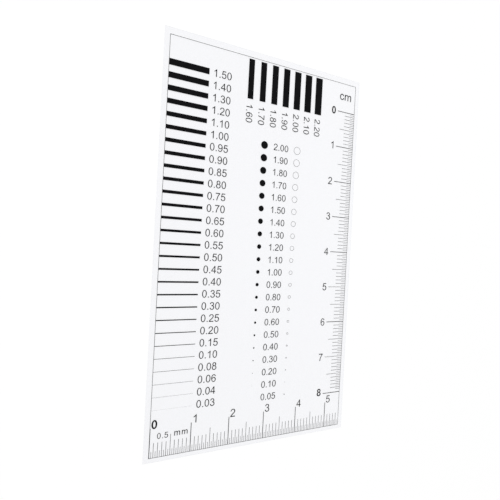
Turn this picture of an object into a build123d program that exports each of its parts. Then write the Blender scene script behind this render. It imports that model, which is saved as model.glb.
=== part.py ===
# Crack width gauge: one square-cut sheet of clear polyester film with black comparison figures
# printed on its face. It lies flat with the print up. X runs along the bottom edge, Y up the
# sheet and Z out of the printed face. The origin is the middle of the sheet's back face.
# All sizes are in millimetres.
import os

from build123d import *

os.makedirs("parts", exist_ok=True)

# Film and the clear margins outside the border line
film_thickness = 0.18
side_margin = 1.3
top_margin = 1.62
bottom_margin = 1.07

# Border line, measured from line centre to line centre
border_width = 55.0
border_height = 98.0
border_line = 0.09
ink_thickness = 0.02

# Crack width bars, a column of level bars that start on the left border line
bar_length = 9.95
bar_top_gap = 6.24
bar_bottom_gap = 11.03
bar_widths = [1.50, 1.40, 1.30, 1.20, 1.10, 1.00, 0.95, 0.90, 0.85, 0.80, 0.75, 0.70, 0.65, 0.60]
bar_widths += [0.55, 0.50, 0.45, 0.40, 0.35, 0.30, 0.25, 0.20, 0.15, 0.10, 0.08, 0.06, 0.04, 0.03]

# Wide bars, a row of upright bars that hang just under the top border line
wide_bar_length = 10.04
wide_bar_gap = 0.43
wide_bar_start = 21.25
wide_bar_pitch = 3.49
wide_bar_widths = [1.60, 1.70, 1.80, 1.90, 2.00, 2.10, 2.20]

# Spots and rings, two columns that share their rows and their diameters
spot_column = 26.03
ring_column = 36.09
spot_top_gap = 21.38
spot_bottom_gap = 10.88
ring_line = 0.07
ring_sides = 28
spot_diameters = [2.00, 1.90, 1.80, 1.70, 1.60, 1.50, 1.40, 1.30, 1.20, 1.10, 1.00]
spot_diameters += [0.90, 0.80, 0.70, 0.60, 0.50, 0.40, 0.30, 0.20, 0.10, 0.05]

# Graduations of the two rules, which share all but their centimetre marks
division = 0.5
side_centimetre_mark = 5.97
base_centimetre_mark = 6.95
five_mark = 5.0
millimetre_mark = 3.45
half_mark = 1.5
centimetre_line = 0.17
millimetre_line = 0.1
half_line = 0.08

# The side rule counts down from its zero and stays clear of the base rule's figures. Its last
# mark is printed low, by most of a division
side_zero_gap = 8.0
base_rule_room = 9.0
last_mark_slip = 0.42

centimetre = 10.0
per_millimetre = round(1.0 / division)
per_five = 5 * per_millimetre
per_centimetre = 10 * per_millimetre

film_width = border_width + 2 * side_margin
film_height = bottom_margin + border_height + top_margin
left = -film_width / 2 + side_margin
right = left + border_width
bottom = -film_height / 2 + bottom_margin
top = bottom + border_height
half_border = border_line / 2
printed_face = Plane.XY.offset(film_thickness)


def rows(first, last, count):
    """Heights of evenly spaced rows from the first down to the last."""
    return [first - (first - last) * row / (count - 1) for row in range(count)]


def marks(first, last, centimetre_mark):
    """Length, line width and distances from zero of each kind of graduation between two divisions."""
    steps = range(first, last + 1)
    centimetres = [n for n in steps if n % per_centimetre == 0]
    fives = [n for n in steps if n % per_five == 0 and n not in centimetres]
    millimetres = [n for n in steps if n % per_millimetre == 0 and n % per_five]
    halves = [n for n in steps if n % per_millimetre]
    kinds = [
        (centimetre_mark, centimetre_line, centimetres),
        (five_mark, millimetre_line, fives),
        (millimetre_mark, millimetre_line, millimetres),
        (half_mark, half_line, halves),
    ]
    return [(length, line, [n * division for n in chosen]) for length, line, chosen in kinds]


# The sheet itself, cut with square corners
with BuildPart() as film:
    Box(film_width, film_height, film_thickness, align=(Align.CENTER, Align.CENTER, Align.MIN))
film.part.label = "film_sheet"
export_step(film.part, "parts/film_sheet.step")

# One thin line right round the print
with BuildPart() as border:
    with BuildSketch(printed_face):
        with Locations(((left + right) / 2, (bottom + top) / 2)):
            Rectangle(border_width + border_line, border_height + border_line)
            Rectangle(border_width - border_line, border_height - border_line, mode=Mode.SUBTRACT)
    extrude(amount=ink_thickness)
border.part.label = "border_line"
export_step(border.part, "parts/border_line.step")

# Each bar is as thick as the crack that it is held against
bar_rows = rows(top - bar_top_gap, bottom + bar_bottom_gap, len(bar_widths))
with BuildPart() as bars:
    with BuildSketch(printed_face):
        for height, width in zip(bar_rows, bar_widths):
            with Locations((left + half_border, height)):
                Rectangle(bar_length - half_border, width, align=(Align.MIN, Align.CENTER))
    extrude(amount=ink_thickness)
bars.part.label = "width_bars"
export_step(bars.part, "parts/width_bars.step")

# The widest cracks are compared with upright bars
with BuildPart() as wide_bars:
    with BuildSketch(printed_face):
        for column, width in enumerate(wide_bar_widths):
            with Locations((left + wide_bar_start + column * wide_bar_pitch, top - wide_bar_gap)):
                Rectangle(width, wide_bar_length, align=(Align.CENTER, Align.MAX))
    extrude(amount=ink_thickness)
wide_bars.part.label = "wide_bars"
export_step(wide_bars.part, "parts/wide_bars.step")

# Solid spots for holes and pinholes
spot_rows = rows(top - spot_top_gap, bottom + spot_bottom_gap, len(spot_diameters))
with BuildPart() as spots:
    with BuildSketch(printed_face):
        for height, diameter in zip(spot_rows, spot_diameters):
            with Locations((left + spot_column, height)):
                Circle(diameter / 2)
    extrude(amount=ink_thickness)
spots.part.label = "size_spots"
export_step(spots.part, "parts/size_spots.step")

# Outlined rings of the same diameters, where the smallest closes up to a speck. Their many sides
# stray from a circle by less than a fifth of the line, which is too fine to show it
with BuildPart() as rings:
    with BuildSketch(printed_face):
        for height, diameter in zip(spot_rows, spot_diameters):
            with Locations((left + ring_column, height)):
                RegularPolygon((diameter + ring_line) / 2, ring_sides)
                if diameter > ring_line:
                    RegularPolygon((diameter - ring_line) / 2, ring_sides, mode=Mode.SUBTRACT)
    extrude(amount=ink_thickness)
rings.part.label = "size_rings"
export_step(rings.part, "parts/size_rings.step")

# Side rule, whose marks stand on the right border line
side_zero = top - side_zero_gap
side_centimetres = int((border_height - side_zero_gap - base_rule_room) / centimetre)
last_mark = side_zero - side_centimetres * centimetre - last_mark_slip
with BuildPart() as side_rule:
    with BuildSketch(printed_face):
        for length, line, distances in marks(0, side_centimetres * per_centimetre - 1, side_centimetre_mark):
            with Locations([(right - half_border, side_zero - distance) for distance in distances]):
                Rectangle(length - half_border, line, align=(Align.MAX, Align.CENTER))
        with Locations((right - half_border, last_mark)):
            Rectangle(side_centimetre_mark - half_border, centimetre_line, align=(Align.MAX, Align.CENTER))
    extrude(amount=ink_thickness)
side_rule.part.label = "side_rule"
export_step(side_rule.part, "parts/side_rule.step")

# Base rule, whose marks stand on the bottom border line. Its zero mark thickens the left border line
base_divisions = round(border_width / division) - 1
with BuildPart() as base_rule:
    with BuildSketch(printed_face):
        with Locations((left + half_border, bottom + half_border)):
            Rectangle(centimetre_line - border_line, base_centimetre_mark - half_border,
                      align=(Align.MIN, Align.MIN))
        for length, line, distances in marks(1, base_divisions, base_centimetre_mark):
            with Locations([(left + distance, bottom + half_border) for distance in distances]):
                Rectangle(line, length - half_border, align=(Align.CENTER, Align.MIN))
    extrude(amount=ink_thickness)
base_rule.part.label = "base_rule"
export_step(base_rule.part, "parts/base_rule.step")
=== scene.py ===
from math import cos, radians, sin

import bmesh
import bpy
from mathutils import Matrix, Vector


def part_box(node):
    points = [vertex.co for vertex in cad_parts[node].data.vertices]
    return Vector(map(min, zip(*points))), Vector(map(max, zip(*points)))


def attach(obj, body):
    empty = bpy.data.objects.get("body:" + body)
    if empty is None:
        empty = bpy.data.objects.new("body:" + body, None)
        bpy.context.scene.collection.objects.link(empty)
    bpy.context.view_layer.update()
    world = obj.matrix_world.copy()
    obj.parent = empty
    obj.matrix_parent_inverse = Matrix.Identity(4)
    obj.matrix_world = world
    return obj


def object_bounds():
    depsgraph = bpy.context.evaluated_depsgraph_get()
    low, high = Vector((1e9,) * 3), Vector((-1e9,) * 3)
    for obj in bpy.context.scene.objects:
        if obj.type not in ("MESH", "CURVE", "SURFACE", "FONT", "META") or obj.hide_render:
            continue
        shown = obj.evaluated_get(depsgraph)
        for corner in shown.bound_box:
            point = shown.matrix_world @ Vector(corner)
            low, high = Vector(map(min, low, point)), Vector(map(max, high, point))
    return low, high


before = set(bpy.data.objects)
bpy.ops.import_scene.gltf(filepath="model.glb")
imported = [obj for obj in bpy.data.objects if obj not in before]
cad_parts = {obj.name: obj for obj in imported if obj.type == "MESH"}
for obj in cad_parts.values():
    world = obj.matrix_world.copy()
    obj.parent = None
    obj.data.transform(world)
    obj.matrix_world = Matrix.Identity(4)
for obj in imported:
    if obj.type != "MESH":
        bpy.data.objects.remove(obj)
cad_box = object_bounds()

# CAMERA
# The gauge is seen from the left and from close by, so its right edge, which is further off,
# looks shorter than its left edge. A wide lens of 30 mm gives that strong perspective.
mm = 0.001
camera_turn = (-1.8165, -27.0639, 3.4207)
camera_data = bpy.data.cameras.new("camera")
camera_data.sensor_width = 36.0
camera_data.lens = 29.916
camera_data.clip_start = 10 * mm
camera = bpy.data.objects.new("camera", camera_data)
camera.location = (-52.54 * mm, 0.52 * mm, 94.82 * mm)
camera.rotation_euler = [radians(angle) for angle in camera_turn]
scene = bpy.context.scene
scene.collection.objects.link(camera)
scene.camera = camera
scene.view_settings.view_transform = "Standard"


# FLOOR
# A broad sheet of matt white paper under the gauge. It is white to the eye, and takes what
# little shade so thin a film gives. The gauge rests flat on it under its own weight.
class Wire:
    """The output of a node. Sums and products of wires add Math nodes to the same tree."""

    def __init__(self, nodes, socket):
        self.nodes = nodes
        self.socket = socket

    def math(self, operation, first, second):
        return self.nodes.add("Math", {"operation": operation}, {0: first, 1: second})

    def __add__(self, other):
        return self.math("ADD", self, other)

    def __radd__(self, other):
        return self.math("ADD", other, self)

    def __sub__(self, other):
        return self.math("SUBTRACT", self, other)

    def __rsub__(self, other):
        return self.math("SUBTRACT", other, self)

    def __mul__(self, other):
        return self.math("MULTIPLY", self, other)

    def __rmul__(self, other):
        return self.math("MULTIPLY", other, self)


class Nodes:
    """The node tree of one material or of the world."""

    def __init__(self, owner):
        owner.use_nodes = True
        self.tree = owner.node_tree
        self.tree.nodes.clear()

    def add(self, kind, settings=None, inputs=None, output=0):
        """Adds a node. Its settings come first, then the value or the wire of each input."""
        node = self.tree.nodes.new("ShaderNode" + kind)
        for name, value in (settings or {}).items():
            if name == "stops":
                for stop, (position, colour) in zip(node.color_ramp.elements, value):
                    stop.position = position
                    stop.color = colour
            else:
                setattr(node, name, value)
        for name, value in (inputs or {}).items():
            if isinstance(value, Wire):
                self.tree.links.new(value.socket, node.inputs[name])
            else:
                node.inputs[name].default_value = value
        return Wire(self, node.outputs[output] if node.outputs else None)


clamped_sum = {"operation": "ADD", "use_clamp": True}


def seen_directly(nodes):
    """1 for rays that show a surface to the eye, by itself, in a mirror or through glass."""
    camera_ray = nodes.add("LightPath", output="Is Camera Ray")
    glossy_ray = nodes.add("LightPath", output="Is Glossy Ray")
    clear_ray = nodes.add("LightPath", output="Is Transmission Ray")
    return nodes.add("Math", clamped_sum, {0: camera_ray + glossy_ray, 1: clear_ray})


def fade(nodes, value, start, end):
    """Rises smoothly from 0 to 1 as a value goes from its start to its end."""
    limits = {"Value": value, "From Min": start, "From Max": end}
    return nodes.add("MapRange", {"interpolation_type": "SMOOTHSTEP"}, limits)


floor_size = 6.0
floor_gap = 0.02 * mm
floor_mesh = bpy.data.meshes.new("floor")
shape = bmesh.new()
bmesh.ops.create_grid(shape, x_segments=1, y_segments=1, size=floor_size / 2)
bmesh.ops.translate(shape, verts=shape.verts, vec=(0, 0, cad_box[0].z - floor_gap))
shape.to_mesh(floor_mesh)
shape.free()
floor = bpy.data.objects.new("floor", floor_mesh)
scene.collection.objects.link(floor)

# The eye sees a little of the paper's own shade near the gauge, and pure white further off
own_shade = 0.15
shaded_reach = 100 * mm
white_reach = 600 * mm
white_paper = bpy.data.materials.new("white_paper")
nodes = Nodes(white_paper)
place = nodes.add("TexCoord", output="Object")
distance = nodes.add("VectorMath", {"operation": "LENGTH"}, {0: place}, output="Value")
far_off = fade(nodes, distance, shaded_reach, white_reach)
white_share = seen_directly(nodes) * (1 - own_shade + own_shade * far_off)
paper = nodes.add("BsdfDiffuse", inputs={"Color": (0.96, 0.96, 0.96, 1)})
glow = nodes.add("Emission", inputs={"Color": (1, 1, 1, 1), "Strength": 1.0})
finish = nodes.add("MixShader", inputs={0: white_share, 1: paper, 2: glow})
nodes.add("OutputMaterial", inputs={"Surface": finish})
floor_mesh.materials.append(white_paper)

# STUDIO LIGHT
# An evenly lit white room and one large soft box high over the sheet, on the camera's side.
# Together they light white paper to just under full white.
room_light = 0.75
world = bpy.data.worlds.new("studio")
nodes = Nodes(world)
strength = seen_directly(nodes) * (1 - room_light) + room_light
room = nodes.add("Background", inputs={"Color": (1, 1, 1, 1), "Strength": strength})
nodes.add("OutputWorld", inputs={"Surface": room})
scene.world = world

soft_box_data = bpy.data.lights.new("soft_box", "AREA")
soft_box_data.shape = "SQUARE"
soft_box_data.size = 0.9
soft_box_data.energy = 4.5
soft_box = bpy.data.objects.new("soft_box", soft_box_data)
soft_box.location = (-0.35, 0.3, 0.9)
soft_box.rotation_euler = (-soft_box.location).to_track_quat("-Z", "Y").to_euler()
scene.collection.objects.link(soft_box)


# FILM SHEET
# Clear polyester film, 0.18 mm thick and cut square. Its polished faces have a faint blue
# veil, whose colour carries a painted reflection of the light, a few hairline scratches from
# use and a very slight waviness. Its cut edges are a little hazy.
def along(nodes, place, direction):
    """How far each point lies from the middle of the sheet in a direction."""
    inputs = {0: place, 1: direction}
    return nodes.add("VectorMath", {"operation": "DOT_PRODUCT"}, inputs, output="Value")


def give_finish(name, material):
    """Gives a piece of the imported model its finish."""
    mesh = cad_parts[name].data
    mesh.materials.clear()
    mesh.materials.append(material)


rightwards = (1.0, 0.0, 0.0)
upwards = (0.0, 1.0, 0.0)
clear_film = bpy.data.materials.new("clear_film")
nodes = Nodes(clear_film)
place = nodes.add("TexCoord", output="Object")
cloud = nodes.add("TexNoise", inputs={"Vector": place, "Scale": 35.0, "Detail": 2.0})

# Hairline scratches in three directions, where a noise drawn out into streaks is at its peaks
scratch_width = 0.4 * mm
scratch_length = 30 * mm
scratches = 0.0
for turn in (12.0, 74.0, 131.0):
    drawn_out = nodes.add("Mapping", {"vector_type": "TEXTURE"}, {
        "Vector": place,
        "Rotation": (0, 0, radians(turn)),
        "Scale": (scratch_width, scratch_length, 1.0),
    })
    streaks = nodes.add("TexNoise", inputs={"Vector": drawn_out, "Scale": 1.0, "Detail": 1.0})
    peaks = nodes.add("MapRange", inputs={"Value": streaks, "From Min": 0.74, "From Max": 0.8})
    scratches = peaks + scratches

# The cut edges are what lies within a hundredth of a millimetre of the sheet's four sides
edge_band = 0.01 * mm
film_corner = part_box("film_sheet")[1]
cut_edges = 0.0
for direction, reach in ((rightwards, film_corner.x), (upwards, film_corner.y)):
    off_middle = nodes.add("Math", {"operation": "ABSOLUTE"}, {0: along(nodes, place, direction)})
    on_edge = nodes.add("Math", {"operation": "GREATER_THAN"}, {0: off_middle, 1: reach - edge_band})
    cut_edges = on_edge + cut_edges

# The share of the film that its veil covers, and the film's roughness
veil = 0.062 + 0.016 * cloud + 0.02 * scratches + 0.1 * cut_edges
roughness = 0.05 + 0.06 * cloud + 0.25 * scratches + 0.3 * cut_edges

# The veil's colour carries a painted reflection of the light: darkest at the lower left of
# the sheet, and lightest at its upper right
veil_in_painted_shade = (0.37, 0.39, 0.535, 1)
veil_in_painted_reflection = (0.69, 0.71, 0.855, 1)
painted_reflection_rise = fade(nodes, along(nodes, place, upwards), -65 * mm, 15 * mm)
painted_reflection_and_cloud = 6.8 * along(nodes, place, rightwards) + 0.45 * painted_reflection_rise + 0.2 * cloud + 0.07
# The film's own faint blue tint, with the painted reflection and a random cloud of tone laid over it
tint_with_painted_reflection = nodes.add("ValToRGB", {"stops": [(0.0, veil_in_painted_shade), (1.0, veil_in_painted_reflection)]}, {"Fac": painted_reflection_and_cloud})

wave_height = 0.2 * mm
wave = nodes.add("TexNoise", inputs={"Vector": place, "Scale": 60.0, "Detail": 0.0})
wavy = nodes.add("Bump", inputs={"Height": wave, "Strength": 0.15, "Distance": wave_height})
film = nodes.add("BsdfPrincipled", inputs={
    "Base Color": tint_with_painted_reflection,
    "Roughness": roughness,
    "IOR": 1.6,
    "Alpha": veil,
    "Normal": wavy,
})
nodes.add("OutputMaterial", inputs={"Surface": film})
give_finish("film_sheet", clear_film)

# PRINTED FIGURES
# Dense black ink, screen printed on the face of the film: the border line, bars, spots, rings
# and both rules. It dries matt, with a fine grain and a trace of unevenness. It takes thinly on
# the two finest bars, at the foot of their column, and on two long marks of the side rule.
border_line = 0.09 * mm
border_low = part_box("border_line")[0]
left = border_low.x + border_line / 2
bottom = border_low.y + border_line / 2
centimetre = 10 * mm
side_zero = 90 * mm


def bars_cover(nodes, height):
    """Full cover on the bars down to 0.06 mm. It thins over the last two, to the finest bar."""
    finest_bar = 11.03 * mm
    full_cover_from = 16.1 * mm
    thinnest = 0.25
    return nodes.add("MapRange", inputs={
        "Value": height,
        "From Min": bottom + finest_bar,
        "From Max": bottom + full_cover_from,
        "To Min": thinnest,
        "To Max": 1.0,
    })


def marks_cover(nodes, height):
    """Full cover on the side rule, apart from its fifth and seventh centimetre marks."""
    half_band = 0.2 * mm
    missing_ink = 0.6
    cover = 1.0
    for number in (5, 7):
        mark = bottom + side_zero - number * centimetre
        limits = {0: height, 1: mark, 2: half_band}
        on_mark = nodes.add("Math", {"operation": "COMPARE"}, limits)
        cover = cover - missing_ink * on_mark
    return cover


def ink(name, cover_at=None):
    """Black ink. With a rule for its cover at each height, the film shows through it in part."""
    deep_black = (0.0021, 0.0021, 0.0027, 1)
    pale_black = (0.0033, 0.0033, 0.0041, 1)
    grain_depth = 0.004 * mm
    breakup = 1.2
    material = bpy.data.materials.new(name)
    nodes = Nodes(material)
    place = nodes.add("TexCoord", output="Object")
    grain = nodes.add("TexNoise", inputs={"Vector": place, "Scale": 9000.0, "Detail": 2.0})
    patches = nodes.add("TexNoise", inputs={"Vector": place, "Scale": 500.0, "Detail": 1.0})
    tones = {"stops": [(0.35, deep_black), (0.65, pale_black)]}
    surface = {
        "Base Color": nodes.add("ValToRGB", tones, {"Fac": patches}),
        "Roughness": 0.5 + 0.2 * grain,
        "Specular IOR Level": 0.05,
        "Normal": nodes.add("Bump", inputs={"Height": grain, "Strength": 0.3, "Distance": grain_depth}),
    }
    if cover_at:
        cover = cover_at(nodes, along(nodes, place, upwards))
        gaps = (grain - 0.5) * (breakup - breakup * cover)
        surface["Alpha"] = nodes.add("Math", clamped_sum, {0: cover, 1: gaps})
    nodes.add("OutputMaterial", inputs={"Surface": nodes.add("BsdfPrincipled", inputs=surface)})
    return material


black_ink = ink("black_ink")
thin_inks = {"width_bars": ink("bar_ink", bars_cover), "side_rule": ink("side_rule_ink", marks_cover)}
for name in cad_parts:
    if name != "film_sheet":
        give_finish(name, thin_inks.get(name, black_ink))

# FIGURES BESIDE THE BARS
# The width of each bar in millimetres stands to its right, in plain upright figures without
# serifs. They are printed with the bars, in the same ink.
type_units = 1000
straight = None
# The outlines of the figures, in thousandths of their type size. Each starts with the room that
# the figure takes in a line. A point has its place, and the heading in degrees of the outline
# there, or the headings in and out at a corner. A side with no heading at one end is straight.
figure_outlines = {
    "0": (556, [
        [(276, 727, 0), (511, 358, -90), (276, -11, 180), (42, 358, 90)],
        [(276, 655, 180), (132, 358, -90), (276, 61, 0), (421, 358, 90)],
    ]),
    "1": (556, [
        [(373, 0), (373, 716), (316, 716, straight, 240), (109, 539, 205, straight),
         (109, 453, straight, 22), (285, 560, 42, straight), (285, 0)],
    ]),
    "2": (556, [
        [(42, 516, straight, 85), (274, 727, 0), (503, 517, -90), (427, 350, -132),
         (255, 198, -139), (152, 85, -124, straight), (503, 85), (503, 0), (30, 0, straight, 90),
         (62, 116, 60), (200, 264, 43), (360, 402, 46), (412, 519, 90), (271, 655, 180),
         (132, 507, -90, straight)],
    ]),
    "3": (556, [
        [(54, 540, straight, 80), (264, 727, 0), (471, 540, -90), (384, 393, -155, -16),
         (510, 211, -90), (266, -12, 180), (42, 189, 95, straight), (130, 200, straight, -80),
         (265, 60, 0), (417, 210, 90), (272, 346, 180), (214, 337, 190, straight),
         (224, 414, straight, 0), (381, 540, 90), (266, 655, 180), (142, 528, -98, straight)],
    ]),
    "4": (556, [
        [(323, 0), (413, 0), (413, 172), (508, 172), (508, 252), (413, 252), (413, 716),
         (340, 716), (13, 252), (13, 172), (323, 172)],
        [(323, 252), (323, 578), (97, 252)],
    ]),
    "5": (556, [
        [(131, 716), (482, 716), (482, 632), (199, 632), (161, 440, straight, 28), (293, 480, 0),
         (514, 243, -90), (263, -12, 180), (42, 187, 95, straight), (134, 195, straight, -80),
         (263, 60, 0), (421, 235, 90), (262, 402, 180), (144, 330, -126, straight), (62, 341)],
    ]),
    "6": (556, [
        [(497, 543, straight, 100), (288, 727, 180), (37, 345, -90), (281, -12, 0),
         (508, 231, 90), (293, 460, 180), (127, 371, -132, 90), (288, 655, 0),
         (410, 535, -78, straight)],
        [(277, 383, 0), (418, 226, -90), (282, 60, 180), (139, 229, 90)],
    ]),
    "7": (556, [
        [(47, 716), (511, 716), (511, 648, straight, -132), (297, 300, -114),
         (237, 0, -95, straight), (146, 0, straight, 84), (212, 290, 70),
         (396, 631, 50, straight), (47, 631)],
    ]),
    "8": (556, [
        [(276, 727, 0), (471, 538, -90), (384, 393, -160, -20), (510, 208, -90), (276, -12, 180),
         (41, 210, 90), (168, 393, 20, 160), (80, 536, 90)],
        [(276, 655, 180), (170, 536, -90), (276, 424, 0), (381, 536, 90)],
        [(276, 352, 180), (132, 207, -90), (276, 60, 0), (420, 207, 90)],
    ]),
    ".": (278, [
        [(91, 0), (191, 0), (191, 100), (91, 100)],
    ]),
}


def turned_over(loops):
    """The outline of a figure turned upside down, which makes a 9 of a 6."""
    width = 550
    height = 715
    turned = []
    for loop in loops:
        points = []
        for x, y, *headings in loop:
            headings = [heading if heading is straight else heading + 180 for heading in headings]
            points.append((width - x, height - y, *headings))
        turned.append(points)
    return turned


figure_room, six = figure_outlines["6"]
figure_outlines["9"] = (figure_room, turned_over(six))
printed_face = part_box("film_sheet")[1].z
ink_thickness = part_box("width_bars")[1].z - printed_face


def heading_in(point):
    """The heading of an outline as it comes to a point."""
    return point[2] if len(point) > 2 else straight


def heading_out(point):
    """The heading of an outline as it leaves a point."""
    return point[-1] if len(point) > 2 else straight


def handles(start, leaving, end, arriving):
    """The two handles of a curved side, from the headings that it leaves and arrives in. They
    reach part of the way to where the headings meet, or a third of the side's length where
    they are nearly parallel or meet behind it."""
    fullness = 0.58
    least_turn = 0.05
    out = Vector((cos(radians(leaving)), sin(radians(leaving))))
    back = Vector((cos(radians(arriving)), sin(radians(arriving))))
    across = end - start
    turn = out.cross(back)
    first = last = across.length / 3
    if abs(turn) > least_turn:
        to_meeting = across.cross(back) / turn
        from_meeting = out.cross(across) / turn
        if min(to_meeting, from_meeting) > 0:
            first = fullness * to_meeting
            last = fullness * from_meeting
    return start + out * first, end - back * last


def figure(loops, bolder=0.0):
    """A figure as a flat solid of ink, at a type size of one metre. Bolder moves its outline out."""
    outline = bpy.data.curves.new("figure", "CURVE")
    outline.dimensions = "2D"
    outline.fill_mode = "BOTH"
    outline.extrude = ink_thickness / 2
    outline.resolution_u = 6
    outline.offset = bolder
    for loop in loops:
        spline = outline.splines.new("BEZIER")
        spline.use_cyclic_u = True
        knots = spline.bezier_points
        knots.add(len(loop) - 1)
        for knot, point in zip(knots, loop):
            knot.co = (point[0] / type_units, point[1] / type_units, 0)
            knot.handle_left_type = knot.handle_right_type = "VECTOR"
        for number, point in enumerate(loop):
            leaving = heading_out(loop[number - 1])
            arriving = heading_in(point)
            if leaving is not straight and arriving is not straight:
                start = knots[number - 1]
                end = knots[number]
                start.handle_right_type = end.handle_left_type = "FREE"
                first, last = handles(start.co.xy, leaving, end.co.xy, arriving)
                start.handle_right = (*first, 0)
                end.handle_left = (*last, 0)
    flat = bpy.data.objects.new("figure", outline)
    mesh = bpy.data.meshes.new_from_object(flat)
    bpy.data.objects.remove(flat)
    bpy.data.curves.remove(outline)
    return mesh


def cut_type(drawings, bolder=0.0):
    """The room and the solid of each figure or letter, at a type size of one metre."""
    return {sign: (room / type_units, figure(loops, bolder)) for sign, (room, loops) in drawings.items()}


def add_print(name, shape):
    """Adds a finished shape of ink to the sheet as a piece."""
    mesh = bpy.data.meshes.new(name)
    shape.to_mesh(mesh)
    shape.free()
    mesh.materials.append(black_ink)
    piece = bpy.data.objects.new(name, mesh)
    scene.collection.objects.link(piece)
    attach(piece, "root")


figures = cut_type(figure_outlines)


def printed(name, type_size, lines, turn=0.0, spacing=0.0, drawn=figures):
    """Prints lines of figures on the film as one piece. Each line has its text and its start,
    right of the left border line and up from the bottom one."""
    weld = 0.0005 * mm
    turned = Matrix.Rotation(radians(turn), 4, "Z")
    sized = Matrix.Diagonal((type_size, type_size, 1, 1))
    shape = bmesh.new()
    for text, x, y in lines:
        start = Matrix.Translation((left + x, bottom + y, printed_face + ink_thickness / 2))
        pen = 0.0
        for sign in text:
            room, mesh = drawn[sign]
            first = len(shape.verts)
            shape.from_mesh(mesh)
            shape.verts.ensure_lookup_table()
            place = start @ turned @ Matrix.Translation((pen, 0, 0)) @ sized
            bmesh.ops.transform(shape, matrix=place, verts=shape.verts[first:])
            pen += room * type_size + spacing
    bmesh.ops.remove_doubles(shape, verts=shape.verts, dist=weld)
    bmesh.ops.recalc_face_normals(shape, faces=shape.faces)
    add_print(name, shape)


cap_middle = 0.358


def column(texts, x, first_row, pitch, type_size):
    """Lines of a column of figures, each with the middle of its height on its row."""
    first_line = first_row - cap_middle * type_size
    return [(text, x, first_line - pitch * row) for row, text in enumerate(texts)]


def sizes(hundredths):
    """Sizes in millimetres as the gauge prints them, from whole hundredths."""
    return [f"{size / 100:.2f}" for size in hundredths]


bar_type = 2.57 * mm
bar_figure_start = 10.93 * mm
top_bar_figure = 91.775 * mm
bar_figure_pitch = 2.9815 * mm
bar_sizes = sizes([*range(150, 99, -10), *range(95, 9, -5), 8, 6, 4, 3])
bar_lines = column(bar_sizes, bar_figure_start, top_bar_figure, bar_figure_pitch, bar_type)
printed("bar_figures", bar_type, bar_lines)

# FIGURES UNDER THE WIDE BARS
# The widths of the upright bars are printed below them, in the same ink. They read downwards,
# so they lie on their side with their heads to the right.
wide_type = 2.5 * mm
first_wide_figure = 21.15 * mm
wide_figure_pitch = 3.5 * mm
wide_figure_start = 86.29 * mm
first_line = first_wide_figure - cap_middle * wide_type
wide_lines = [(text, first_line + wide_figure_pitch * number, wide_figure_start)
              for number, text in enumerate(sizes(range(160, 221, 10)))]
printed("wide_bar_figures", wide_type, wide_lines, turn=-90)

# FIGURES BETWEEN THE SPOTS AND RINGS
# One column of diameters serves the spots on its left and the rings on its right. It is set in
# slightly smaller type than the figures beside the bars, and printed in the same ink.
spot_type = 2.38 * mm
spot_figure_start = 28.73 * mm
top_spot_figure = 76.63 * mm
spot_figure_pitch = 3.287 * mm
spot_sizes = sizes([*range(200, 9, -10), 5])
spot_lines = column(spot_sizes, spot_figure_start, top_spot_figure, spot_figure_pitch, spot_type)
printed("spot_figures", spot_type, spot_lines)

# SPECK UNDER THE RINGS
# The outline of the smallest ring runs together as it is printed, into a blot of ink that is
# wider than the ring itself.
speck_width = 0.3 * mm
speck_sides = 24
# The ring's own top stands just clear of the blot, so that no two faces lie in one plane
speck_thickness = 0.95 * ink_thickness
ring_column = 36.09 * mm
last_ring = 10.88 * mm
shape = bmesh.new()
bmesh.ops.create_cone(shape, cap_ends=True, segments=speck_sides, radius1=speck_width / 2,
                      radius2=speck_width / 2, depth=speck_thickness)
speck_place = (left + ring_column, bottom + last_ring, printed_face + speck_thickness / 2)
bmesh.ops.translate(shape, verts=shape.verts, vec=speck_place)
add_print("ring_speck", shape)

# FIGURES OF THE TWO RULES
# Each centimetre mark has its number. The side rule counts down and has its numbers left of
# the marks, and the base rule has them just above and right of its marks. The end numbers of
# the side rule and the zero of the base rule are bold.
bold_outlines = {
    "0": (556, [
        [(276, 736, 0), (520, 358, -90), (276, -20, 180), (33, 358, 90)],
        [(276, 608, 180), (175, 358, -90), (276, 108, 0), (378, 358, 90)],
    ]),
    "8": (556, [
        [(276, 729, 0), (492, 534, -90), (402, 390, -155, -25), (516, 207, -90), (274, -17, 180),
         (37, 207, 90), (156, 390, 25, 155), (62, 534, 90)],
        [(276, 624, 180), (184, 530, -90), (276, 434, 0), (370, 530, 90)],
        [(276, 342, 180), (168, 220, -90), (276, 92, 0), (386, 220, 90)],
    ]),
}
bold_figures = cut_type(bold_outlines)
rule_type = 2.8 * mm
side_figure_start = 46.87 * mm
top_side_figure = side_zero + 0.03 * mm
side_lines = column("012345678", side_figure_start, top_side_figure, centimetre, rule_type)
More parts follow.
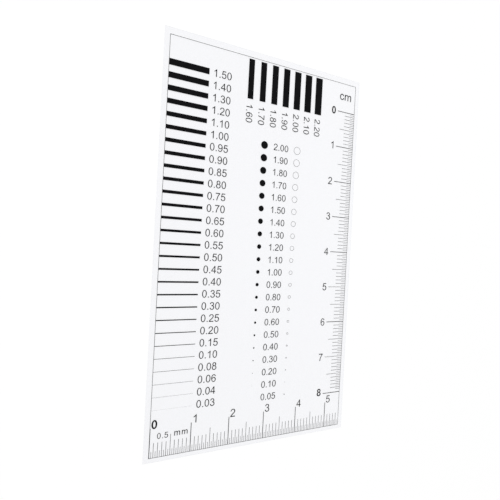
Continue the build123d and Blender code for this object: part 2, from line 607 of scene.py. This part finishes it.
# The 1 is printed a little too far right and too high
stray_right = 0.18 * mm
stray_up = 0.17 * mm
one, one_x, one_y = side_lines[1]
side_lines[1] = (one, one_x + stray_right, one_y + stray_up)
printed("side_rule_figures", rule_type, side_lines[1:-1])
printed("side_rule_end_figures", rule_type, [side_lines[0], side_lines[-1]], drawn=bold_figures)

right_of_mark = 0.24 * mm
base_figure_foot = 6.83 * mm
base_lines = [(str(number), number * centimetre + right_of_mark, base_figure_foot)
              for number in range(1, 6)]
base_zero = ("0", 0.2 * mm, 6.78 * mm)
printed("base_rule_figures", rule_type, base_lines)
printed("base_rule_zero", rule_type, [base_zero], drawn=bold_figures)

# UNITS OF THE RULES
# The side rule is marked cm over its zero, and the base rule says that its smallest division
# is 0.5 mm. The small letters are spaced out.
letter_outlines = {
    "c": (500, [
        [(480, 361, straight, 105), (260, 531, 180), (39, 259, -90), (260, -12, 0),
         (491, 179, 82, straight), (405, 190, straight, -98), (259, 62, 180), (129, 260, 90),
         (263, 457, 0), (393, 347, -75, straight)],
    ]),
    "m": (833, [
        [(66, 0), (154, 0), (154, 269, straight, 90), (279, 453, 0), (375, 322, -90, straight),
         (375, 0), (463, 0), (463, 301, straight, 90), (591, 453, 0), (680, 330, -90, straight),
         (680, 0), (768, 0), (768, 356, straight, 90), (610, 531, 180), (452, 432, -125, 125),
         (300, 531, 180), (145, 444, -125, straight), (145, 519), (66, 519)],
    ]),
}
large_letters = cut_type(letter_outlines)
small_letters = cut_type({"m": letter_outlines["m"]}, bolder=0.006)
sign_type = 3.25 * mm
division_type = 1.87 * mm
unit_type = 2.0 * mm
figure_spacing = 0.1 * mm
letter_spacing = 0.2 * mm
centimetre_sign = ("cm", 49.42 * mm, 93.38 * mm)
division_size = ("0.5", 1.67 * mm, 4.28 * mm)
division_unit = ("mm", 5.76 * mm, 4.43 * mm)
printed("centimetre_sign", sign_type, [centimetre_sign], drawn=large_letters)
printed("division_size", division_type, [division_size], spacing=figure_spacing)
printed("division_unit", unit_type, [division_unit], spacing=letter_spacing, drawn=small_letters)
